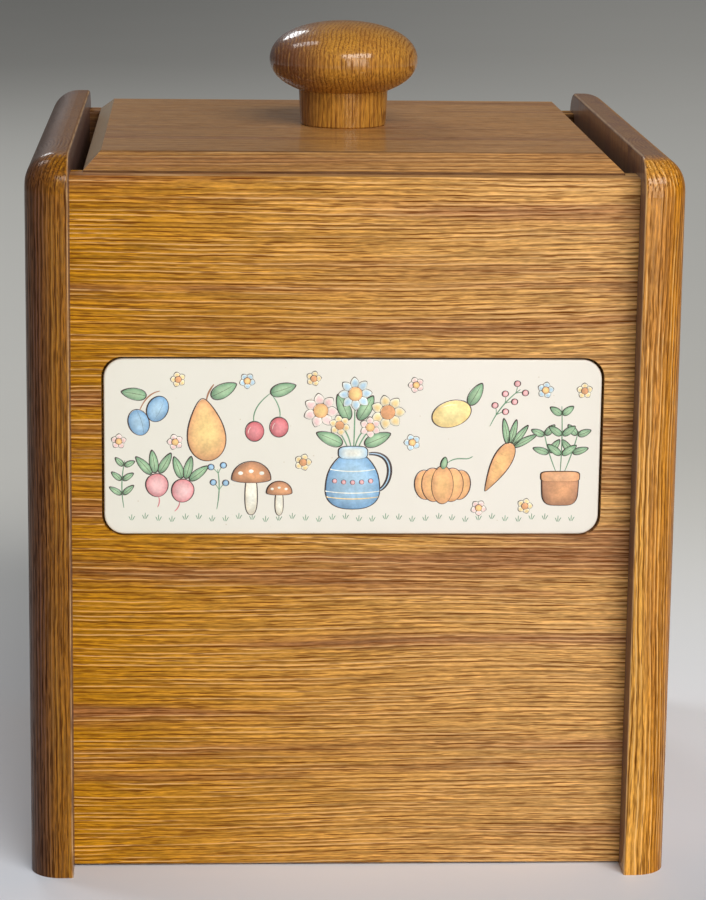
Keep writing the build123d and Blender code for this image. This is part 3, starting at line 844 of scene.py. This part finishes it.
# Stand, lights and camera
# A wide pale table top, a broad soft light high on the right of the camera, a square one low in front, two
# small windows behind the canister and over its left, and an even grey surround.
def table_top():
    """Pale grey with a very faint unevenness, cooler in front and warmer behind, and with painted light:
    lighter on the right, beside the canister and far behind it."""
    painted_light_far = 0.7
    painted_light_beside = 0.33
    material, tree, shader, place = new_surface("table top", Roughness=0.6)
    tone = noise(tree, place, (6.0, 6.0, 6.0), detail=3.0)
    spot = split(tree, place)
    across, away = spot["X"], spot["Y"]
    near = blend_colours(tree, tone, (0.665, 0.685, 0.74, 1.0), (0.65, 0.67, 0.725, 1.0))
    far = blend_colours(tree, tone, (0.71, 0.695, 0.65, 1.0), (0.69, 0.675, 0.63, 1.0))
    colour = blend_colours(tree, between(tree, away, -0.15, 0.5), near, far)
    # Painted light on the table: far behind on the right, and beside the canister.
    far_right = calc(tree, "MULTIPLY", between(tree, away, 0.6, 3.2), between(tree, across, -0.35, 0.8))
    beside = calc(tree, "MULTIPLY", between(tree, away, 0.6, 0.1), between(tree, away, -0.18, -0.04))
    beside = calc(tree, "MULTIPLY", beside, between(tree, across, -0.11, 0.0))
    light = calc(tree, "MULTIPLY_ADD", far_right, painted_light_far, 1.0)
    light = calc(tree, "MULTIPLY_ADD", beside, painted_light_beside, light)
    tree.links.new(blend_colours(tree, 1.0, colour, light, "MULTIPLY"), shader.inputs["Base Color"])
    return material


floor_half = 6.0
floor_corners = [(x * floor_half, y * floor_half, 0.0) for x, y in ((-1, -1), (1, -1), (1, 1), (-1, 1))]
floor_mesh = bpy.data.meshes.new("floor")
floor_mesh.from_pydata(floor_corners, [], [(0, 1, 2, 3)])
floor_mesh.materials.append(table_top())
floor = bpy.data.objects.new("floor", floor_mesh)
bpy.context.scene.collection.objects.link(floor)

surround = bpy.data.worlds.new("surround")
surround.use_nodes = True
surround.node_tree.nodes["Background"].inputs["Color"].default_value = (0.13, 0.133, 0.135, 1.0)
bpy.context.scene.world = surround


def soft_light(name, direction, distance, width, height, watts, tint):
    """A rectangular area light with level edges, which faces the middle of the canister from a direction."""
    target = Vector((0.0, 0.0, 0.12))
    lamp = bpy.data.lights.new(name, "AREA")
    lamp.shape = "RECTANGLE"
    lamp.size = width
    lamp.size_y = height
    lamp.energy = watts
    lamp.color = tint
    holder = bpy.data.objects.new(name, lamp)
    away = Vector(direction).normalized()
    facing = away.to_track_quat("Z", "Y").to_matrix().to_4x4()
    holder.matrix_world = Matrix.Translation(target + away * distance) @ facing
    bpy.context.scene.collection.objects.link(holder)


soft_light("key light", (0.27, -0.7, 0.66), 3.0, 2.2, 0.9, 60.0, (1.0, 0.98, 0.95))
soft_light("front light", (0.3, -0.92, 0.22), 3.0, 1.8, 1.8, 40.0, (1.0, 0.98, 0.96))
soft_light("rear window", (-0.26, 0.82, 0.5), 2.2, 0.45, 0.45, 5.0, (0.95, 0.98, 1.0))
soft_light("left window", (-0.5, 0.285, 0.81), 2.0, 0.4, 0.9, 6.5, (0.95, 0.98, 1.0))

camera_place = (-0.04827, -1.05386, 0.35606)
camera_turn = radians(-2.8723)
camera_fall = radians(12.6123)
camera_roll = radians(0.7044)
camera_data = bpy.data.cameras.new("camera")
camera_data.sensor_width = 36.0
camera_data.lens = 123.12
camera = bpy.data.objects.new("camera", camera_data)
camera.matrix_world = (
    Matrix.Translation(camera_place)
    @ Matrix.Rotation(camera_turn, 4, "Z")
    @ Matrix.Rotation(pi / 2 - camera_fall, 4, "X")
    @ Matrix.Rotation(camera_roll, 4, "Z")
)
bpy.context.scene.collection.objects.link(camera)
bpy.context.scene.camera = camera
bpy.context.scene.view_settings.view_transform = "Standard"
